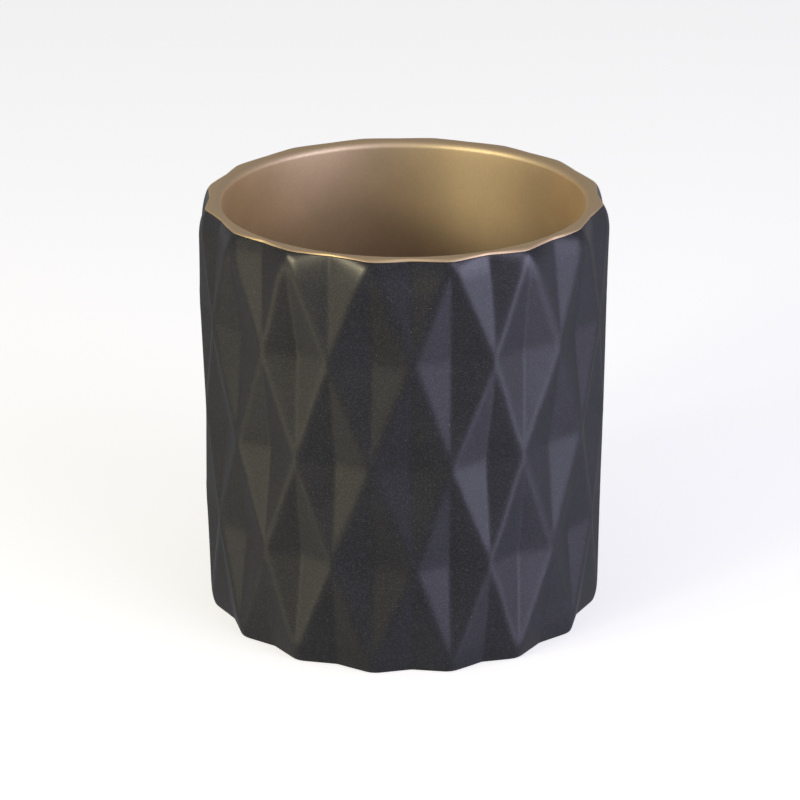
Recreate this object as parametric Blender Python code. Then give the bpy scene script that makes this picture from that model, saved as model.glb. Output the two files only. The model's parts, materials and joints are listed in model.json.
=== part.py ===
"""Empty candle jar: a round ceramic vessel pressed with a lattice of shallow diamonds.

It is black outside, and gold inside and over the rim. Metres, +Z up. The origin is the centre of the foot,
on the surface that the jar stands on. Angles are measured round the axis from -Y towards +X, and a raised
point of the lattice lies on the line at angle 0.
"""

import math

import bmesh
import bpy

# Outside of the jar
HEIGHT = 0.094
DIAMETER = 0.090  # across two raised points of the lattice, at the rim
FOOT_SHARE = 0.988  # the wall narrows evenly to this share of its size at the foot

# Diamond lattice
DIAMONDS_AROUND = 16
ROWS = 4  # half diamonds from the lattice's lowest points to the rim
LOWEST_POINTS_Z = 0.0015
PIT_DEPTH = 0.0026  # from a raised point to the middle of a diamond, along the radius

# Curves of the wall into the rim and the foot
SHOULDER_HEIGHT = 0.0073  # the wall starts to curve in this far below the rim
TOP_RADIUS = 0.0418  # edge of the rim's flat top, in line with the middle of a pit
TOP_SCALLOP = 0.25  # share of the lattice's relief that is left at that edge
FOOT_CURVE_HEIGHT = 0.0058
FOOT_RADIUS = 0.0410  # edge of the foot, in line with the middle of a pit
FOOT_SCALLOP = 0.85

# Cavity, lip and foot ring
CAVITY_RADIUS = 0.0395  # at the rim
CAVITY_FLOOR_Z = 0.0065
CAVITY_FILLET = 0.006
LIP_ROUNDING = 0.0017  # from the flat top of the rim down into the cavity
FOOT_RING_INNER_RADIUS = 0.0368
FOOT_BEVEL = 0.0008  # from the foot ring up into the recess under the floor
FOOT_RECESS_DEPTH = 0.0012

# Coats, and the gap between two neighbouring pieces
GLAZE_THICKNESS = 0.0003
GOLD_THICKNESS = 0.0004
GAP = 0.0003
GLAZE_FOOT_Z = 0.0002  # the black glaze stops this far above the bare foot ring

# Finishes: colour, roughness and metallic share
STONEWARE = ((0.62, 0.57, 0.50), 0.8, 0.0)
BLACK_GLAZE = ((0.018, 0.018, 0.021), 0.4, 0.0)
SATIN_GOLD = ((0.80, 0.60, 0.38), 0.5, 1.0)
RECESS_GLAZE = ((0.020, 0.020, 0.023), 0.45, 0.0)

# Fineness of the mesh
COLUMNS = 4 * DIAMONDS_AROUND
FILLET_STEPS = 5
LIP_STEPS = 4
CURVE_STEPS = 4
SHARP_ANGLE = math.radians(24)  # the ridges stay sharp, and the valleys are shaded smooth

HALF_PITCH = math.pi / DIAMONDS_AROUND
ROW_HEIGHT = (HEIGHT - LOWEST_POINTS_Z) / ROWS
CELL_HEIGHT = ROW_HEIGHT / 2
POINT_RADIUS = DIAMETER / 2
PIT_RADIUS = POINT_RADIUS - PIT_DEPTH
LIP_CENTRE_RADIUS = CAVITY_RADIUS + LIP_ROUNDING
LIP_CENTRE_Z = HEIGHT - LIP_ROUNDING
FILLET_CENTRE_Z = CAVITY_FLOOR_Z + CAVITY_FILLET


def taper(z):
    """Share of the rim's size that the wall has at this height."""
    return FOOT_SHARE + (1 - FOOT_SHARE) * z / HEIGHT


def lattice_radius(angle, z):
    """Radius of the lattice before the taper. Each diamond is a pit of four flat facets."""
    across = angle / HALF_PITCH
    up = (z - LOWEST_POINTS_Z) / ROW_HEIGHT
    rising = round((across + up) / 2)
    falling = round((across - up) / 2)
    aside = abs(across - (rising + falling)) * HALF_PITCH
    along = abs(up - (rising - falling)) * ROW_HEIGHT
    rise = POINT_RADIUS * math.cos(HALF_PITCH) - PIT_RADIUS
    lean = rise / (POINT_RADIUS * math.sin(HALF_PITCH))
    climb = PIT_DEPTH / ROW_HEIGHT
    return (PIT_RADIUS + climb * along) / (math.cos(aside) - lean * math.sin(aside))


def curve_in(radius, angle, edge_z, edge_radius, scallop, share):
    """Takes the wall in on a quarter ellipse to a scalloped edge. The share is how far up the curve is."""
    end = edge_radius + scallop * (lattice_radius(angle, edge_z) - PIT_RADIUS)
    return radius - (radius - end) * (1 - math.sqrt(1 - share**2))


def wall_radius(angle, z):
    """Outer radius of the finished jar, with the wall curving in to the rim and to the foot."""
    radius = lattice_radius(angle, z) * taper(z)
    into_shoulder = max(0.0, 1 - (HEIGHT - z) / SHOULDER_HEIGHT)
    into_foot = max(0.0, 1 - z / FOOT_CURVE_HEIGHT)
    radius = curve_in(radius, angle, HEIGHT, TOP_RADIUS, TOP_SCALLOP, into_shoulder)
    return curve_in(radius, angle, 0.0, FOOT_RADIUS, FOOT_SCALLOP, into_foot)


def cavity_radius(z):
    """Radius of the finished cavity, which narrows with the wall."""
    return CAVITY_RADIUS * taper(z)


def wall_ring(z, inset=0.0):
    """Points round the wall at one height, set in from the finished surface."""
    points = []
    for column in range(COLUMNS):
        angle = column * HALF_PITCH / 2
        radius = wall_radius(angle, z) - inset
        points.append((radius * math.sin(angle), -radius * math.cos(angle), z))
    return points


def round_ring(radius, z):
    """Points round a plain circle."""
    angles = [column * HALF_PITCH / 2 for column in range(COLUMNS)]
    return [(radius * math.sin(angle), -radius * math.cos(angle), z) for angle in angles]


def wall_heights(lowest, highest):
    """Heights of the wall's rings: the foot's curve, the corners of the facets and the shoulder's curve."""
    turns = [math.pi / 2 * step / CURVE_STEPS for step in range(CURVE_STEPS)]
    foot = [FOOT_CURVE_HEIGHT * (1 - math.sin(turn)) for turn in reversed(turns)]
    facets = [LOWEST_POINTS_Z + CELL_HEIGHT * row for row in range(1, 2 * ROWS)]
    shoulder = [HEIGHT - SHOULDER_HEIGHT * (1 - math.sin(turn)) for turn in turns]
    between = [z for z in foot + facets + shoulder if lowest < z < highest]
    return [lowest] + between + [highest]


def lip_rings(inset):
    """Rings from the flat top of the rim down into the cavity, set into the material."""
    rings = []
    for step in range(LIP_STEPS + 1):
        turn = math.pi / 2 * step / LIP_STEPS
        radius = LIP_CENTRE_RADIUS - (LIP_ROUNDING - inset) * math.sin(turn)
        rings.append(round_ring(radius, LIP_CENTRE_Z + (LIP_ROUNDING - inset) * math.cos(turn)))
    return rings


def floor_rings(inset):
    """Rings down the fillet of the cavity to the edge of its flat floor, set into the material."""
    rings = []
    centre_radius = cavity_radius(FILLET_CENTRE_Z) - CAVITY_FILLET
    for step in range(FILLET_STEPS + 1):
        turn = math.pi / 2 * step / FILLET_STEPS
        radius = centre_radius + (CAVITY_FILLET + inset) * math.cos(turn)
        rings.append(round_ring(radius, FILLET_CENTRE_Z - (CAVITY_FILLET + inset) * math.sin(turn)))
    return rings


def add_band(bm, ring, next_ring):
    """Joins two rings with triangles, split along the diagonals that the lattice's ridges follow."""
    z, next_z = ring[0].co.z, next_ring[0].co.z
    row = math.floor(((z + next_z) / 2 - LOWEST_POINTS_Z) / CELL_HEIGHT)
    for column in range(COLUMNS):
        beside = (column + 1) % COLUMNS
        corners = (ring[column], ring[beside], next_ring[beside], next_ring[column])
        first = 0 if ((column + row) % 2 == 0) == (next_z > z) else 1
        bm.faces.new((corners[first], corners[first + 1], corners[first + 2]))
        bm.faces.new((corners[first], corners[first + 2], corners[(first + 3) % 4]))


def add_piece(name, rings, material, capped):
    """Makes one closed body from a chain of rings: capped at both ends, or joined end to start."""
    bm = bmesh.new()
    loops = [[bm.verts.new(point) for point in ring] for ring in rings]
    for ring, next_ring in zip(loops, loops[1:]):
        add_band(bm, ring, next_ring)
    if capped:
        bm.faces.new(loops[0])
        bm.faces.new(loops[-1])
    else:
        add_band(bm, loops[-1], loops[0])
    bmesh.ops.recalc_face_normals(bm, faces=bm.faces)
    mesh = bpy.data.meshes.new(name)
    bm.to_mesh(mesh)
    bm.free()
    mesh.shade_smooth()
    mesh.set_sharp_from_angle(angle=SHARP_ANGLE)
    mesh.materials.append(material)
    piece = bpy.data.objects.new(name, mesh)
    bpy.context.scene.collection.objects.link(piece)
    return piece


def make_material(name, finish):
    colour, roughness, metallic = finish
    material = bpy.data.materials.new(name)
    material.use_nodes = True
    shader = material.node_tree.nodes["Principled BSDF"]
    shader.inputs["Base Color"].default_value = (*colour, 1.0)
    shader.inputs["Roughness"].default_value = roughness
    shader.inputs["Metallic"].default_value = metallic
    return material


def make_ceramic_body():
    """The fired vessel: foot ring, lattice wall, rim and floor. Only its foot ring is bare."""
    outer_inset = GLAZE_THICKNESS + GAP
    inner_inset = GOLD_THICKNESS + GAP
    recess_radius = FOOT_RING_INNER_RADIUS - FOOT_BEVEL
    ceiling_z = FOOT_RECESS_DEPTH + outer_inset
    rings = [
        round_ring(recess_radius, ceiling_z),
        round_ring(recess_radius, FOOT_BEVEL),
        round_ring(FOOT_RING_INNER_RADIUS, 0.0),
    ]
    rings += [wall_ring(z, outer_inset) for z in wall_heights(0.0, HEIGHT - inner_inset)]
    rings += lip_rings(inner_inset)
    rings += floor_rings(inner_inset)
    material = make_material("fired_stoneware", STONEWARE)
    return add_piece("ceramic_body", rings, material, capped=True)


def make_outer_glaze():
    """The matt black coat of the wall, from just above the foot ring up to the gold of the rim."""
    heights = wall_heights(GLAZE_FOOT_Z, HEIGHT - GOLD_THICKNESS - GAP)
    rings = [wall_ring(z) for z in heights]
    rings += [wall_ring(z, GLAZE_THICKNESS) for z in reversed(heights)]
    material = make_material("matt_black_glaze", BLACK_GLAZE)
    return add_piece("outer_glaze", rings, material, capped=False)


def make_gold_lining():
    """The satin gold coat: floor and wall of the cavity, and over the rim to its scalloped outer edge."""
    rings = floor_rings(GOLD_THICKNESS)[::-1]
    rings += lip_rings(GOLD_THICKNESS)[::-1]
    rings += [wall_ring(z) for z in wall_heights(HEIGHT - GOLD_THICKNESS, HEIGHT)]
    rings += lip_rings(0.0)
    rings += floor_rings(0.0)
    material = make_material("satin_gold", SATIN_GOLD)
    return add_piece("gold_lining", rings, material, capped=True)


def make_foot_recess_glaze():
    """The island of black glaze in the shallow recess under the floor, inside the bare foot ring."""
    radius = FOOT_RING_INNER_RADIUS - FOOT_BEVEL - GAP
    rings = [
        round_ring(radius, FOOT_RECESS_DEPTH),
        round_ring(radius, FOOT_RECESS_DEPTH + GLAZE_THICKNESS),
    ]
    material = make_material("recess_black_glaze", RECESS_GLAZE)
    return add_piece("foot_recess_glaze", rings, material, capped=True)


def clear_scene():
    for item in list(bpy.data.objects):
        bpy.data.objects.remove(item)


clear_scene()
make_ceramic_body()
make_outer_glaze()
make_gold_lining()
make_foot_recess_glaze()
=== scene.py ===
import json
import math

import bpy
import numpy as np
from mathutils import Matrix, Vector


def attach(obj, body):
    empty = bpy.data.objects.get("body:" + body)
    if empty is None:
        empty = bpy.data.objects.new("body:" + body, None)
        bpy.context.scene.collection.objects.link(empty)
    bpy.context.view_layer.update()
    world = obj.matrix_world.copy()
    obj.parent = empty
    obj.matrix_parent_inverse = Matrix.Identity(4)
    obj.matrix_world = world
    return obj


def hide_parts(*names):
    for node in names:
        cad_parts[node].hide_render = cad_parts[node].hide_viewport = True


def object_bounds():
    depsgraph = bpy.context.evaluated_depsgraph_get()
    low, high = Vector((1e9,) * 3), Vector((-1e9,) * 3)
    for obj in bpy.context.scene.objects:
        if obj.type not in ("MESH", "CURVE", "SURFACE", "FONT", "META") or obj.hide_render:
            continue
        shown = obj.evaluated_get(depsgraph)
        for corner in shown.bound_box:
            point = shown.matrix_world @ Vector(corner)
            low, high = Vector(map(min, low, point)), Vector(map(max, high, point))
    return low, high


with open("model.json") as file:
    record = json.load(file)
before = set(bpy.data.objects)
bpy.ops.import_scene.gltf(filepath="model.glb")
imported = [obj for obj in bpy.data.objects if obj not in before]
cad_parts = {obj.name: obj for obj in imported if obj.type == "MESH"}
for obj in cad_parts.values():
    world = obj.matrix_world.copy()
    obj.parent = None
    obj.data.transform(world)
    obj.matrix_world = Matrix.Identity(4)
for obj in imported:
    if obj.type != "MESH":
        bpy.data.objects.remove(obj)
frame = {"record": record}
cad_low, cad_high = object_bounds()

MM = 0.001
mounts = {mount["name"]: mount for mount in frame["record"]["mounts"]}

# Sizes of the finished jar, the same as in the CAD part
HEIGHT = cad_high.z - cad_low.z
FOOT_SHARE = 0.988
DIAMONDS_AROUND = 16
ROWS = 4
LOWEST_POINTS_Z = 1.5 * MM
PIT_DEPTH = 2.6 * MM
POINT_RADIUS = 45.0 * MM
SHOULDER_HEIGHT = 7.3 * MM
TOP_RADIUS = 41.8 * MM
TOP_SCALLOP = 0.25
FOOT_CURVE_HEIGHT = 5.8 * MM
FOOT_RADIUS = 41.0 * MM
FOOT_SCALLOP = 0.85
CAVITY_RADIUS = 39.5 * MM
CAVITY_FLOOR_Z = mounts["cavity_floor"]["pos_m"][2]
CAVITY_FILLET = 6.0 * MM
LIP_ROUNDING = 1.7 * MM
FOOT_RING_INNER_RADIUS = 36.8 * MM
FOOT_BEVEL = 0.8 * MM
FOOT_RECESS_DEPTH = 1.2 * MM

HALF_PITCH = math.pi / DIAMONDS_AROUND
ROW_HEIGHT = (HEIGHT - LOWEST_POINTS_Z) / ROWS
PIT_RADIUS = POINT_RADIUS - PIT_DEPTH
SHOULDER_START_Z = HEIGHT - SHOULDER_HEIGHT
LIP_CENTRE_RADIUS = CAVITY_RADIUS + LIP_ROUNDING
LIP_CENTRE_Z = HEIGHT - LIP_ROUNDING
FILLET_CENTRE_Z = CAVITY_FLOOR_Z + CAVITY_FILLET
RECESS_RADIUS = FOOT_RING_INNER_RADIUS - FOOT_BEVEL

# Coats, and how far the fired body stays behind the finished surface
GLAZE_THICKNESS = 0.3 * MM
GLAZE_FOOT_Z = 0.2 * MM
GOLD_THICKNESS = 0.3 * MM
GOLD_EDGE_DROP = 0.50 * MM
GOLD_OVERLAP = 0.012 * MM
GOLD_RIM_INSET = 0.35 * MM
BODY_FOOT_INSET = 0.45 * MM
BODY_WALL_INSET = 0.55 * MM
BODY_CAVITY_INSET = 0.6 * MM
BODY_CEILING_GAP = 0.5 * MM
BODY_CEILING_BEVEL = 0.1 * MM
FOOT_ROUNDING = 0.4 * MM
RECESS_GLAZE_MARGIN = 0.95 * MM
RECESS_GLAZE_ROUNDING = 0.25 * MM
RECESS_GLAZE_STEP = 0.05 * MM
# Waves of the edges that wander: height in millimetres, number of waves round the jar, start
GOLD_EDGE_WAVES = ((0.10, 3, 0.7), (0.07, 8, 2.1), (0.06, 19, 4.0))
RECESS_EDGE_WAVES = ((0.25, 2, 1.0), (0.18, 5, 3.0), (0.10, 11, 0.0))

# Fineness of the mesh
COLUMNS = 40 * DIAMONDS_AROUND
ANGLES = np.arange(COLUMNS) * 2 * math.pi / COLUMNS
FOOT_ROWS = 12
SHOULDER_ROWS = 20
RIM_ROWS = 10
WALL_STEP = 1.0 * MM
CAVITY_STEP = 2.0 * MM
BODY_STEP = 2.4 * MM
GLAZE_BACK_STEP = 2.5 * MM
HIDDEN_STEP = 8.0 * MM
FINE_TURNS = 16
COARSE_TURNS = 8
AXIS_SHARE = 0.05  # the ring next to a fan is this share of the flat face's radius

# Softness of the pressed lattice, and the grid that holds one repeat of it
RIDGE_BLUR = 0.70 * MM
VALLEY_BLUR_ACROSS = 0.28 * MM
VALLEY_BLUR_ALONG = 0.65 * MM
RIDGE_REACH = (0.6 * MM, 2.0 * MM)
TILE_ACROSS = 96
TILE_UP = 192

# Unevenness of the pressed lattice: the usual shift of a raised point, and how far along the wall it is felt
SHIFT_AROUND = 0.6 * MM
SHIFT_UP = 0.35 * MM
SHIFT_SEED = 16
REACH_AROUND = 5.0 * MM
REACH_UP = 9.0 * MM
SHIFT_REST = 0.12  # weight of no shift at all, so that the shifts fade between points

# Finishes
BLACK = (0.0194, 0.0194, 0.0232)
BLACK_GRAIN = (0.060, 0.060, 0.068)
BLACK_SPECK = (0.22, 0.22, 0.22)
WALL_ROUGHNESS = 0.44
RECESS_ROUGHNESS = 0.30
SHOULDER_GLOSS = 0.16  # how much less rough the glaze is where it thickens on the shoulder
GOLD_WALL = (0.89, 0.73, 0.50)
GOLD_RIM = (0.84, 0.64, 0.40)
# painted shade: the dark gold stands for the shade deep in the cavity
GOLD_PAINTED_SHADE = (0.46, 0.37, 0.28)
GOLD_GRAIN = (0.30, 0.19, 0.09)
GOLD_ROUGHNESS = 0.54
CLAY_DARK = (0.50, 0.44, 0.37)
CLAY_LIGHT = (0.66, 0.60, 0.52)
CLAY_SPECK = (0.22, 0.16, 0.11)
WHITE = (1.0, 1.0, 1.0)

# Studio
FLOOR_REACH = 3.0
FLOOR_COLOUR = (0.80, 0.80, 0.80)
FLOOR_GLOW = 0.6
AMBIENT = (0.28, 0.28, 0.294)
LIGHT_DISTANCE = 0.7
WARM = (1.0, 0.90, 0.60)
COOL = (0.74, 0.72, 1.0)
PANEL = 0.35
KEY_PANEL = 0.12
# Lights: azimuth from the camera towards the right, elevation, width in metres, radiance, colour
LIGHTS = [
    (-60.0, 25.0, KEY_PANEL, 22.0, WARM),
    (-45.0, 20.0, KEY_PANEL, 22.0, WARM),
    (-40.0, 15.0, PANEL, 2.5, WARM),
    (-70.0, -15.0, PANEL, 2.0, WARM),
    (65.0, 10.0, PANEL, 4.5, COOL),
    (50.0, 20.0, PANEL, 1.5, COOL),
    (40.0, 40.0, PANEL, 2.0, COOL),
    (60.0, -15.0, PANEL, 4.0, COOL),
    (90.0, -10.0, PANEL, 1.0, COOL),
]

# Camera: long lens, above the rim, aimed at the middle of the jar
CENTRE = Vector((0.0, 0.0, HEIGHT / 2))
CAMERA_AZIMUTH = -1.98
CAMERA_ELEVATION = 22.08
CAMERA_DISTANCE = 14 * POINT_RADIUS
CAMERA_SENSOR = 36.0
CAMERA_LENS = 127.33
CAMERA_SHIFT = (-0.00474, -0.00515)


def smooth_step(low, high, value):
    """From 0 to 1 while the value goes from low to high, with a soft start and end."""
    t = np.clip((value - low) / (high - low), 0.0, 1.0)
    return t * t * (3 - 2 * t)


def cell_place(across, up):
    """How far a place is from the middle of its diamond, as shares of the half width and the half height."""
    rising = np.round((across + up) / 2)
    falling = np.round((across - up) / 2)
    return np.abs(across - (rising + falling)), np.abs(up - (rising - falling))


def sharp_lattice(across, up):
    """Radius of the flat facets. The place is counted in half diamonds across and in rows up."""
    aside, along = cell_place(across, up)
    lean = (POINT_RADIUS * math.cos(HALF_PITCH) - PIT_RADIUS) / (POINT_RADIUS * math.sin(HALF_PITCH))
    turn = aside * HALF_PITCH
    return (PIT_RADIUS + PIT_DEPTH * along) / (np.cos(turn) - lean * np.sin(turn))


def blur(tile, across_sigma, up_sigma):
    """Gaussian blur of one repeat of the lattice. Both of its directions wrap round."""
    cell = (2 * ROW_HEIGHT / tile.shape[0], 2 * HALF_PITCH * POINT_RADIUS / tile.shape[1])
    up_waves = np.fft.fftfreq(tile.shape[0], cell[0])[:, None]
    across_waves = np.fft.fftfreq(tile.shape[1], cell[1])[None, :]
    power = (up_waves * up_sigma) ** 2 + (across_waves * across_sigma) ** 2
    return np.real(np.fft.ifft2(np.fft.fft2(tile) * np.exp(-2 * math.pi ** 2 * power)))


def make_tile():
    """One repeat of the lattice, with rounded ridges and soft valleys."""
    across_steps = np.arange(TILE_ACROSS) * 2 / TILE_ACROSS
    up_steps = np.arange(TILE_UP) * 2 / TILE_UP
    up, across = np.meshgrid(up_steps, across_steps, indexing="ij")
    sharp = sharp_lattice(across, up)
    aside, along = cell_place(across, up)
    width = HALF_PITCH * POINT_RADIUS
    to_ridge = (1 - aside - along) * width * ROW_HEIGHT / math.hypot(width, ROW_HEIGHT)
    valley = smooth_step(*RIDGE_REACH, to_ridge)
    soft = blur(sharp, VALLEY_BLUR_ACROSS, VALLEY_BLUR_ALONG)
    return soft * valley + blur(sharp, RIDGE_BLUR, RIDGE_BLUR) * (1 - valley)


LATTICE_TILE = make_tile()


def shift_table():
    """The even place of every raised point on the wall, and its shift from there out of a fixed draw."""
    draw = np.random.default_rng(SHIFT_SEED)
    rows = []
    for level in range(ROWS + 1):
        first = 0.5 - DIAMONDS_AROUND / 2 if level % 2 == 0 else -DIAMONDS_AROUND / 2
        for number in range(DIAMONDS_AROUND):
            angle = (first + number) * 2 * HALF_PITCH
            around = draw.normal(0.0, SHIFT_AROUND)
            up = draw.normal(0.0, SHIFT_UP)
            if level in (0, ROWS):
                up = 0.0
            rows.append((angle, LOWEST_POINTS_Z + level * ROW_HEIGHT, around, up))
    return np.array(rows)


SHIFTS = shift_table()


def uneven(angle, z):
    """How far the lattice is moved at a place: round the wall as an angle, and up."""
    total = np.full(angle.shape, SHIFT_REST)
    around = np.zeros(angle.shape)
    up = np.zeros(angle.shape)
    for point_angle, point_z, point_around, point_up in SHIFTS:
        turn = (angle - point_angle + math.pi) % (2 * math.pi) - math.pi
        far = (turn * POINT_RADIUS / REACH_AROUND) ** 2 + ((z - point_z) / REACH_UP) ** 2
        weight = np.exp(-0.5 * far)
        total += weight
        around += weight * point_around
        up += weight * point_up
    return around / total / POINT_RADIUS, up / total


def tile_row(row, left, along):
    """Value in one row of the tile, between a column and the next one. The tile repeats both ways."""
    near = LATTICE_TILE[row % TILE_UP, left % TILE_ACROSS]
    far = LATTICE_TILE[row % TILE_UP, (left + 1) % TILE_ACROSS]
    return near * (1 - along) + far * along


def lattice_radius(angle, z):
    """Radius of the softened and slightly uneven lattice, read from the repeating tile."""
    turn, lift = uneven(angle, z)
    column = (angle - turn) / HALF_PITCH / 2 * TILE_ACROSS
    row = (z - lift - LOWEST_POINTS_Z) / ROW_HEIGHT / 2 * TILE_UP
    left = np.floor(column).astype(int)
    below = np.floor(row).astype(int)
    along = column - left
    rise = row - below
    low_row = tile_row(below, left, along)
    high_row = tile_row(below + 1, left, along)
    return low_row * (1 - rise) + high_row * rise


def taper(z):
    """Share of the rim's size that the wall has at this height."""
    return FOOT_SHARE + (1 - FOOT_SHARE) * z / HEIGHT


def curve_in(radius, angle, edge_z, edge_radius, scallop, share):
    """Lead the wall in to the edge at its top or foot, along a quarter of an ellipse."""
    end = edge_radius + scallop * (lattice_radius(angle, np.full_like(angle, edge_z)) - PIT_RADIUS)
    return radius - (radius - end) * (1 - np.sqrt(np.clip(1 - share ** 2, 0.0, 1.0)))


def wall_radius(angle, z):
    """Radius of the finished outer surface."""
    radius = lattice_radius(angle, z) * taper(z)
    into_shoulder = np.clip(1 - (HEIGHT - z) / SHOULDER_HEIGHT, 0.0, 1.0)
    into_foot = np.clip(1 - z / FOOT_CURVE_HEIGHT, 0.0, 1.0)
    radius = curve_in(radius, angle, HEIGHT, TOP_RADIUS, TOP_SCALLOP, into_shoulder)
    return curve_in(radius, angle, 0.0, FOOT_RADIUS, FOOT_SCALLOP, into_foot)


def wander(angle, waves):
    """How far a hand-finished edge strays from its even line."""
    total = 0.0
    for height, number, start in waves:
        total = total + height * np.sin(number * angle + start)
    return total * MM


def coat_edge_drop(angle):
    """How far below the top the gold coat ends: a line that wanders a little."""
    return GOLD_EDGE_DROP + wander(angle, GOLD_EDGE_WAVES)


def wall_ring(z, inset=0.0):
    """Points round the wall. The height is one number or one for each column."""
    heights = np.broadcast_to(np.asarray(z, float), ANGLES.shape)
    radius = wall_radius(ANGLES, heights) - inset
    return np.stack([radius * np.sin(ANGLES), -radius * np.cos(ANGLES), heights], axis=1)


def round_ring(radius, z):
    """Points at this radius. Radius and height are one number or one for each column."""
    radii = np.broadcast_to(np.asarray(radius, float), ANGLES.shape)
    heights = np.broadcast_to(np.asarray(z, float), ANGLES.shape)
    return np.stack([radii * np.sin(ANGLES), -radii * np.cos(ANGLES), heights], axis=1)


def ring_mesh(name, rings, closed):
    """A closed body from a chain of rings: joined end to start, or closed with a fan at both ends."""
    points = np.concatenate(rings)
    near = np.arange(COLUMNS)
    beside = (near + 1) % COLUMNS
    links = [(k, k + 1) for k in range(len(rings) - 1)]
    if closed:
        links.append((len(rings) - 1, 0))
    polygons = []
    for low, high in links:
        lower = low * COLUMNS
        upper = high * COLUMNS
        corners = [lower + near, lower + beside, upper + beside, upper + near]
        polygons += np.stack(corners, axis=1).tolist()
    if not closed:
        start_middle = len(points)
        end_middle = start_middle + 1
        last = (len(rings) - 1) * COLUMNS
        points = np.concatenate([points, [rings[0].mean(axis=0), rings[-1].mean(axis=0)]])
        around = list(zip(near.tolist(), beside.tolist()))
        polygons += [[start_middle, b, a] for a, b in around]
        polygons += [[end_middle, last + a, last + b] for a, b in around]
    mesh = bpy.data.meshes.new(name)
    mesh.from_pydata(points.tolist(), [], polygons)
    mesh.update()
    mesh.shade_smooth()
    piece = bpy.data.objects.new(name, mesh)
    bpy.context.scene.collection.objects.link(piece)
    return piece


def spread(low, high, step):
    """Even heights from low to high, about one step apart."""
    return np.linspace(low, high, max(2, int(round(abs(high - low) / step)) + 1))


def quarter(steps):
    """Angles of a quarter turn, in even steps."""
    return [math.pi / 2 * step / steps for step in range(steps + 1)]


def lip_ring(turn, inset):
    """A ring on the lip's rounding, from the flat rim at no turn down to the cavity's wall."""
    reach = LIP_ROUNDING - inset
    return round_ring(LIP_CENTRE_RADIUS - reach * math.sin(turn), LIP_CENTRE_Z + reach * math.cos(turn))


def flat_floor_radius():
    """Radius of the cavity's flat floor, inside its fillet."""
    return CAVITY_RADIUS * taper(FILLET_CENTRE_Z) - CAVITY_FILLET


def fillet_ring(turn, inset):
    """A ring on the cavity's fillet, from the wall at no turn down to the floor."""
    reach = CAVITY_FILLET + inset
    radius = flat_floor_radius() + reach * math.cos(turn)
    return round_ring(radius, FILLET_CENTRE_Z - reach * math.sin(turn))


def shoulder_ring(turn):
    """A ring on the shoulder's curve. The wall turns level where the turn reaches a quarter."""
    return wall_ring(HEIGHT - SHOULDER_HEIGHT * (1 - np.sin(turn)))


def add_wall_glaze():
    """The black coat of the wall: a closed shell from just above the foot to the edge of the gold."""
    foot_rise = FOOT_CURVE_HEIGHT - GLAZE_FOOT_Z
    turns = np.linspace(math.pi / 2, 0, FOOT_ROWS + 1)
    heights = [GLAZE_FOOT_Z + foot_rise * (1 - math.sin(turn)) for turn in turns]
    heights += list(spread(FOOT_CURVE_HEIGHT, SHOULDER_START_Z, WALL_STEP)[1:])
    outside = [wall_ring(z) for z in heights]
    edge = HEIGHT - coat_edge_drop(ANGLES)
    end_turn = np.arcsin(1 - (HEIGHT - edge) / SHOULDER_HEIGHT)
    outside += [shoulder_ring(end_turn * share) for share in np.linspace(0, 1, SHOULDER_ROWS + 1)[1:]]
    inside = [wall_ring(edge - 0.05 * MM, GLAZE_THICKNESS)]
    back_heights = spread(SHOULDER_START_Z, FOOT_CURVE_HEIGHT, GLAZE_BACK_STEP)
    inside += [wall_ring(z, GLAZE_THICKNESS) for z in back_heights]
    inside += [wall_ring(z * MM, GLAZE_THICKNESS) for z in (3.0, 1.2, 0.5, 0.25)]
    piece = ring_mesh("wall_glaze", outside + inside, closed=True)
    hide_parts("outer_glaze")
    return piece


def add_gold_coat():
    """The gold coat, from its wandering edge over the rim and down to the middle of the floor."""
    drop = coat_edge_drop(ANGLES) - GOLD_OVERLAP
    edge_turn = np.arcsin(1 - drop / SHOULDER_HEIGHT)
    shares = np.linspace(0, 1, RIM_ROWS + 1)
    front = [shoulder_ring(edge_turn + (math.pi / 2 - edge_turn) * share) for share in shares]
    top_edge = front[-1]
    flat_start = round_ring(LIP_CENTRE_RADIUS, HEIGHT)
    front += [top_edge * (1 - share) + flat_start * share for share in (0.25, 0.5, 0.75)]
    front += [lip_ring(turn, 0.0) for turn in quarter(FINE_TURNS)]
    wall_heights = spread(LIP_CENTRE_Z, FILLET_CENTRE_Z, CAVITY_STEP)[1:]
    front += [round_ring(CAVITY_RADIUS * taper(z), z) for z in wall_heights]
    front += [fillet_ring(turn, 0.0) for turn in quarter(FINE_TURNS)[1:]]
    floor_shares = (0.8, 0.6, 0.4, 0.2, AXIS_SHARE)
    front += [round_ring(flat_floor_radius() * share, CAVITY_FLOOR_Z) for share in floor_shares]
    under_floor = CAVITY_FLOOR_Z - GOLD_THICKNESS
    back = [round_ring(flat_floor_radius() * share, under_floor) for share in (AXIS_SHARE, 0.5)]
    back += [fillet_ring(turn, GOLD_THICKNESS) for turn in quarter(COARSE_TURNS)[::-1]]
    wall_heights = spread(FILLET_CENTRE_Z, LIP_CENTRE_Z, HIDDEN_STEP)[1:-1]
    back += [round_ring(CAVITY_RADIUS * taper(z) + GOLD_THICKNESS, z) for z in wall_heights]
    back += [lip_ring(turn, GOLD_THICKNESS) for turn in quarter(COARSE_TURNS)[::-1]]
    back.append(wall_ring(HEIGHT - GOLD_THICKNESS, GOLD_RIM_INSET))
    piece = ring_mesh("gold_coat", back + front, closed=False)
    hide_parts("gold_lining")
    return piece


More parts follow.
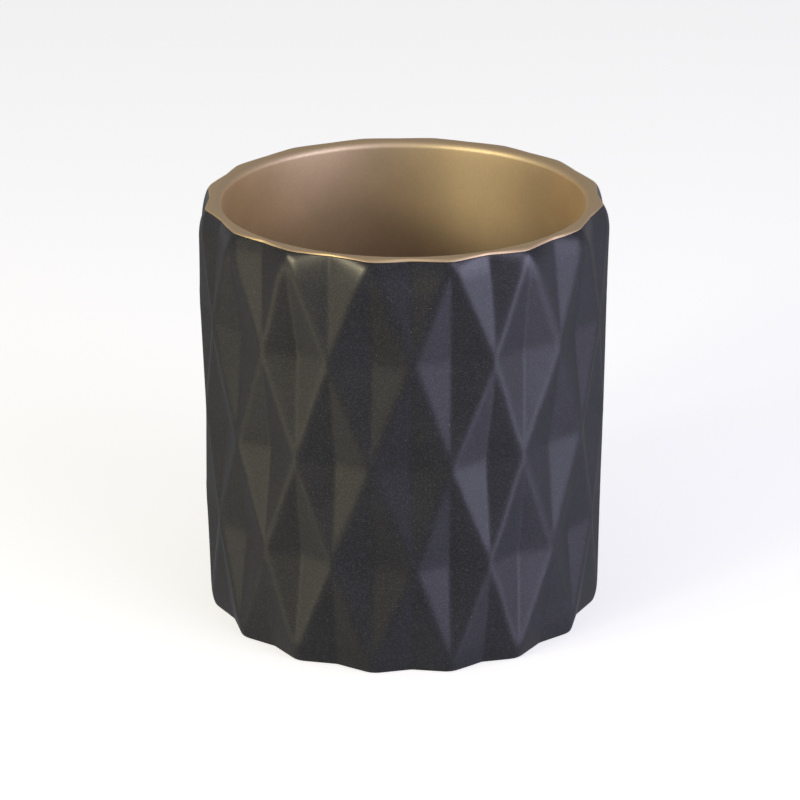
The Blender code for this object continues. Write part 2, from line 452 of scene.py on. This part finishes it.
def add_body():
    """The fired body. Its clay shows on the foot ring and round the glaze of the recess."""
    ceiling = FOOT_RECESS_DEPTH + BODY_CEILING_GAP
    rings = [round_ring(RECESS_RADIUS * share, ceiling) for share in (AXIS_SHARE, 0.5, 0.98)]
    rings.append(round_ring(RECESS_RADIUS, ceiling - BODY_CEILING_BEVEL))
    for turn in quarter(COARSE_TURNS):
        radius = FOOT_RING_INNER_RADIUS - FOOT_BEVEL * math.cos(turn)
        rings.append(round_ring(radius, FOOT_BEVEL * (1 - math.sin(turn))))
    base = wall_radius(ANGLES, np.zeros(COLUMNS)) - BODY_FOOT_INSET
    for share in (0.35, 0.7):
        radius = FOOT_RING_INNER_RADIUS * (1 - share) + (base - FOOT_ROUNDING) * share
        rings.append(round_ring(radius, 0.0))
    for turn in quarter(5):
        radius = base - FOOT_ROUNDING * (1 - math.sin(turn))
        rings.append(round_ring(radius, FOOT_ROUNDING * (1 - math.cos(turn))))
    rings += [wall_ring(z * MM, BODY_WALL_INSET) for z in (1.5, 3.0, 4.5, 6.0)]
    rings += [wall_ring(z, BODY_WALL_INSET) for z in spread(8.0 * MM, SHOULDER_START_Z, BODY_STEP)]
    rings += [wall_ring(HEIGHT - depth * MM, BODY_WALL_INSET) for depth in (4.5, 2.5, 1.5, 1.0)]
    rings += [lip_ring(turn, BODY_CAVITY_INSET) for turn in quarter(COARSE_TURNS)]
    wall_heights = spread(LIP_CENTRE_Z, FILLET_CENTRE_Z, HIDDEN_STEP)[1:]
    rings += [round_ring(CAVITY_RADIUS * taper(z) + BODY_CAVITY_INSET, z) for z in wall_heights]
    rings += [fillet_ring(turn, BODY_CAVITY_INSET) for turn in quarter(COARSE_TURNS)[1:]]
    rings.append(round_ring(flat_floor_radius() * AXIS_SHARE, CAVITY_FLOOR_Z - BODY_CAVITY_INSET))
    piece = ring_mesh("stoneware_body", rings, closed=False)
    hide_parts("ceramic_body")
    return piece


def add_recess_glaze():
    """The glazed island in the recess under the floor, thick and rounded at its wandering edge."""
    edge = RECESS_RADIUS - RECESS_GLAZE_MARGIN - wander(ANGLES, RECESS_EDGE_WAVES)
    low = FOOT_RECESS_DEPTH
    high = low + GLAZE_THICKNESS
    rings = [round_ring(edge * share, high) for share in (AXIS_SHARE, 0.5, 0.97, 1.0)]
    for turn in quarter(6):
        radius = edge - RECESS_GLAZE_ROUNDING * (1 - math.cos(turn))
        rings.append(round_ring(radius, high - RECESS_GLAZE_STEP - RECESS_GLAZE_ROUNDING * math.sin(turn)))
    rings += [round_ring(edge * share, low) for share in (0.9, 0.5, AXIS_SHARE)]
    piece = ring_mesh("recess_glaze", rings[::-1], closed=False)
    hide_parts("foot_recess_glaze")
    return piece


class Nodes:
    """Short calls for building a node tree."""

    def __init__(self, tree):
        self.tree = tree

    def add(self, kind, inputs=None, **settings):
        node = self.tree.nodes.new(kind)
        for key, value in settings.items():
            setattr(node, key, value)
        for key, value in (inputs or {}).items():
            socket = node.inputs[key]
            if isinstance(value, bpy.types.NodeSocket):
                self.tree.links.new(value, socket)
            else:
                socket.default_value = value
        return node

    def math(self, operation, *values):
        """A sum, product or other calculation on its inputs."""
        return self.add("ShaderNodeMath", dict(enumerate(values)), operation=operation).outputs[0]

    def noise(self, place, scale, detail, roughness):
        inputs = {"Vector": place, "Scale": scale, "Detail": detail, "Roughness": roughness}
        return self.add("ShaderNodeTexNoise", inputs).outputs["Fac"]

    def ramp(self, value, low, high, to_low=0.0, to_high=1.0):
        """Map the span from low to high onto the span from to_low to to_high, and hold it outside."""
        inputs = {"Value": value, "From Min": low, "From Max": high, "To Min": to_low, "To Max": to_high}
        return self.add("ShaderNodeMapRange", inputs).outputs["Result"]

    def mix(self, factor, first, second):
        inputs = {"Factor": factor, 6: first, 7: second}
        return self.add("ShaderNodeMix", inputs, data_type="RGBA").outputs[2]

    def bump(self, height, strength, distance, normal=None):
        inputs = {"Height": height, "Strength": strength, "Distance": distance}
        if normal is not None:
            inputs["Normal"] = normal
        return self.add("ShaderNodeBump", inputs).outputs["Normal"]


def opaque(colour, factor=1.0):
    """A colour made lighter or darker, with the alpha that a socket wants."""
    return tuple(min(1.0, channel * factor) for channel in colour) + (1.0,)


def new_material(name):
    """A node material, the calls to build it, its shader and the place on the object."""
    material = bpy.data.materials.new(name)
    material.use_nodes = True
    nodes = Nodes(material.node_tree)
    shader = material.node_tree.nodes["Principled BSDF"]
    place = nodes.add("ShaderNodeTexCoord").outputs["Object"]
    return material, nodes, shader, place


def link(nodes, output, socket):
    nodes.tree.links.new(output, socket)


def black_glaze(name, roughness):
    """Matt black: a fine grain, rare pale specks, and slow changes in tone and sheen."""
    material, nodes, shader, place = new_material(name)
    grain = nodes.noise(place, scale=3300.0, detail=3.0, roughness=0.65)
    cloud = nodes.noise(place, scale=90.0, detail=3.0, roughness=0.55)
    peel = nodes.noise(place, scale=420.0, detail=2.0, roughness=0.5)
    speck_cells = nodes.add("ShaderNodeTexVoronoi", {"Vector": place, "Scale": 1000.0})
    speck = nodes.ramp(speck_cells.outputs["Distance"], 0.07, 0.13, 1.0, 0.0)
    pick = nodes.add("ShaderNodeSeparateColor", {"Color": speck_cells.outputs["Color"]})
    chosen = nodes.ramp(pick.outputs["Red"], 0.90, 0.91)
    speck = nodes.math("MULTIPLY", speck, nodes.math("MULTIPLY", chosen, pick.outputs["Green"]))
    base = nodes.mix(nodes.ramp(cloud, 0.35, 0.65), opaque(BLACK, 0.72), opaque(BLACK, 0.96))
    base = nodes.mix(nodes.ramp(grain, 0.48, 0.68, 0.0, 0.8), base, opaque(BLACK_GRAIN))
    base = nodes.mix(nodes.math("MULTIPLY", speck, 0.9), base, opaque(BLACK_SPECK))
    link(nodes, base, shader.inputs["Base Color"])
    height = nodes.add("ShaderNodeSeparateXYZ", {"Vector": place}).outputs["Z"]
    glossier = nodes.ramp(height, HEIGHT - 5.0 * MM, HEIGHT - 2.0 * MM, 0.0, SHOULDER_GLOSS)
    rough = nodes.ramp(cloud, 0.3, 0.7, roughness - 0.02, roughness + 0.02)
    link(nodes, nodes.math("SUBTRACT", rough, glossier), shader.inputs["Roughness"])
    shader.inputs["IOR"].default_value = 1.5
    normal = nodes.bump(peel, strength=0.25, distance=0.02 * MM)
    normal = nodes.bump(grain, strength=0.7, distance=0.02 * MM, normal=normal)
    link(nodes, normal, shader.inputs["Normal"])
    return material


def gold_finish(name):
    """Satin gold: sprayed metal with fine grain, deeper in colour on the rim, and darkened low down in the
    cavity by painted shade.
    """
    material, nodes, shader, place = new_material(name)
    grain = nodes.noise(place, scale=2200.0, detail=3.0, roughness=0.6)
    cloud = nodes.noise(place, scale=60.0, detail=3.0, roughness=0.5)
    ripple = nodes.noise(place, scale=120.0, detail=1.0, roughness=0.4)
    base = nodes.mix(nodes.ramp(cloud, 0.35, 0.65), opaque(GOLD_WALL, 0.94), opaque(GOLD_WALL, 1.06))
    height = nodes.add("ShaderNodeSeparateXYZ", {"Vector": place}).outputs["Z"]
    # painted shade: the gold darkens towards the cavity's floor, where less light reaches
    painted_depth_shade = nodes.ramp(height, HEIGHT - 48.0 * MM, HEIGHT - 14.0 * MM, 0.85, 0.0)
    base = nodes.mix(painted_depth_shade, base, opaque(GOLD_PAINTED_SHADE))
    on_rim = nodes.ramp(height, HEIGHT - 1.2 * MM, HEIGHT - 0.3 * MM)
    base = nodes.mix(on_rim, base, opaque(GOLD_RIM))
    base = nodes.mix(nodes.ramp(grain, 0.3, 0.75, 0.0, 0.12), base, opaque(GOLD_GRAIN))
    shader.inputs["Metallic"].default_value = 1.0
    normal = nodes.bump(ripple, strength=0.3, distance=0.08 * MM)
    normal = nodes.bump(grain, strength=0.3, distance=0.01 * MM, normal=normal)
    rough = nodes.ramp(grain, 0.3, 0.7, GOLD_ROUGHNESS - 0.03, GOLD_ROUGHNESS + 0.03)
    link(nodes, base, shader.inputs["Base Color"])
    link(nodes, rough, shader.inputs["Roughness"])
    link(nodes, normal, shader.inputs["Normal"])
    return material


def bare_stoneware(name):
    """Unglazed fired clay: warm grey, grainy, with dark iron specks."""
    material, nodes, shader, place = new_material(name)
    grain = nodes.noise(place, scale=1500.0, detail=4.0, roughness=0.7)
    cloud = nodes.noise(place, scale=70.0, detail=3.0, roughness=0.6)
    base = nodes.mix(nodes.ramp(cloud, 0.3, 0.7), opaque(CLAY_DARK), opaque(CLAY_LIGHT))
    base = nodes.mix(nodes.ramp(grain, 0.62, 0.70, 0.0, 0.7), base, opaque(CLAY_SPECK))
    link(nodes, base, shader.inputs["Base Color"])
    shader.inputs["Roughness"].default_value = 0.85
    link(nodes, nodes.bump(grain, strength=0.6, distance=0.05 * MM), shader.inputs["Normal"])
    return material


def pale_floor():
    """A white table. Seen from below it isn't there, so that the jar's foot can be looked at."""
    material = bpy.data.materials.new("studio_floor")
    material.use_nodes = True
    tree = material.node_tree
    tree.nodes.clear()
    nodes = Nodes(tree)
    seen_by_camera = nodes.add("ShaderNodeLightPath").outputs["Is Camera Ray"]
    diffuse = nodes.add("ShaderNodeBsdfDiffuse", {"Color": opaque(FLOOR_COLOUR)}).outputs[0]
    glow = nodes.add("ShaderNodeEmission", {"Color": opaque(WHITE), "Strength": FLOOR_GLOW}).outputs[0]
    both = nodes.add("ShaderNodeAddShader", {0: diffuse, 1: glow}).outputs[0]
    seen = nodes.add("ShaderNodeMixShader", {0: seen_by_camera, 1: diffuse, 2: both}).outputs[0]
    clear = nodes.add("ShaderNodeBsdfTransparent").outputs[0]
    back = nodes.add("ShaderNodeNewGeometry").outputs["Backfacing"]
    surface = nodes.add("ShaderNodeMixShader", {0: back, 1: seen, 2: clear}).outputs[0]
    out = nodes.add("ShaderNodeOutputMaterial")
    tree.links.new(surface, out.inputs["Surface"])
    return material


def direction(azimuth, elevation):
    """Unit vector from the jar. An azimuth of 0 is the front, and a positive one is towards the right."""
    turn = math.radians(azimuth)
    lift = math.radians(elevation)
    return Vector((math.sin(turn) * math.cos(lift), -math.cos(turn) * math.cos(lift), math.sin(lift)))


def add_light(number, azimuth, elevation, size, strength, colour):
    """A round soft box that faces the middle of the jar. Its strength is the radiance of its face."""
    away = direction(azimuth + CAMERA_AZIMUTH, elevation)
    lamp = bpy.data.lights.new(f"soft_box_{number}", "AREA")
    lamp.shape = "DISK"
    lamp.size = size
    lamp.color = colour
    lamp.energy = strength * math.pi * math.pi * (size / 2) ** 2
    item = bpy.data.objects.new(lamp.name, lamp)
    item.location = CENTRE + away * LIGHT_DISTANCE
    item.visible_camera = False
    item.rotation_mode = "QUATERNION"
    item.rotation_quaternion = away.to_track_quat("Z", "Y")
    bpy.context.scene.collection.objects.link(item)


def add_world():
    """A dim grey surround that the camera sees as white."""
    world = bpy.data.worlds.new("studio")
    bpy.context.scene.world = world
    world.use_nodes = True
    tree = world.node_tree
    tree.nodes.clear()
    nodes = Nodes(tree)
    seen_by_camera = nodes.add("ShaderNodeLightPath").outputs["Is Camera Ray"]
    around = nodes.add("ShaderNodeBackground", {"Color": opaque(AMBIENT), "Strength": 1.0}).outputs[0]
    white = nodes.add("ShaderNodeBackground", {"Color": opaque(WHITE), "Strength": 1.0}).outputs[0]
    mixed = nodes.add("ShaderNodeMixShader", {0: seen_by_camera, 1: around, 2: white}).outputs[0]
    out = nodes.add("ShaderNodeOutputWorld")
    tree.links.new(mixed, out.inputs["Surface"])


def add_camera():
    back = direction(CAMERA_AZIMUTH, CAMERA_ELEVATION)
    data = bpy.data.cameras.new("camera")
    data.sensor_width = CAMERA_SENSOR
    data.lens = CAMERA_LENS
    data.shift_x = CAMERA_SHIFT[0]
    data.shift_y = CAMERA_SHIFT[1]
    data.clip_start = 0.01
    data.clip_end = 20.0
    camera = bpy.data.objects.new("camera", data)
    camera.location = CENTRE + back * CAMERA_DISTANCE
    camera.rotation_mode = "QUATERNION"
    camera.rotation_quaternion = back.to_track_quat("Z", "Y")
    bpy.context.scene.collection.objects.link(camera)
    bpy.context.scene.camera = camera


def add_floor():
    """A wide plain floor that only the camera sees, so that it sends no light back onto the jar."""
    mesh = bpy.data.meshes.new("floor")
    corners = [(FLOOR_REACH * x, FLOOR_REACH * y, 0.0) for x, y in ((-1, -1), (1, -1), (1, 1), (-1, 1))]
    mesh.from_pydata(corners, [], [(0, 1, 2, 3)])
    mesh.materials.append(pale_floor())
    floor = bpy.data.objects.new("floor", mesh)
    bpy.context.scene.collection.objects.link(floor)
    floor.visible_glossy = False
    floor.visible_diffuse = False
    floor.visible_transmission = False
    floor.visible_shadow = False


wall = add_wall_glaze()
wall.data.materials.append(black_glaze("matt_black_glaze", WALL_ROUGHNESS))
gold = add_gold_coat()
gold.data.materials.append(gold_finish("satin_gold"))
body = add_body()
body.data.materials.append(bare_stoneware("fired_stoneware"))
recess = add_recess_glaze()
recess.data.materials.append(black_glaze("recess_black_glaze", RECESS_ROUGHNESS))
for piece in (wall, gold, body, recess):
    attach(piece, "root")

add_floor()
add_world()
for number, light in enumerate(LIGHTS):
    add_light(number, *light)
add_camera()
bpy.context.scene.view_settings.view_transform = "Standard"
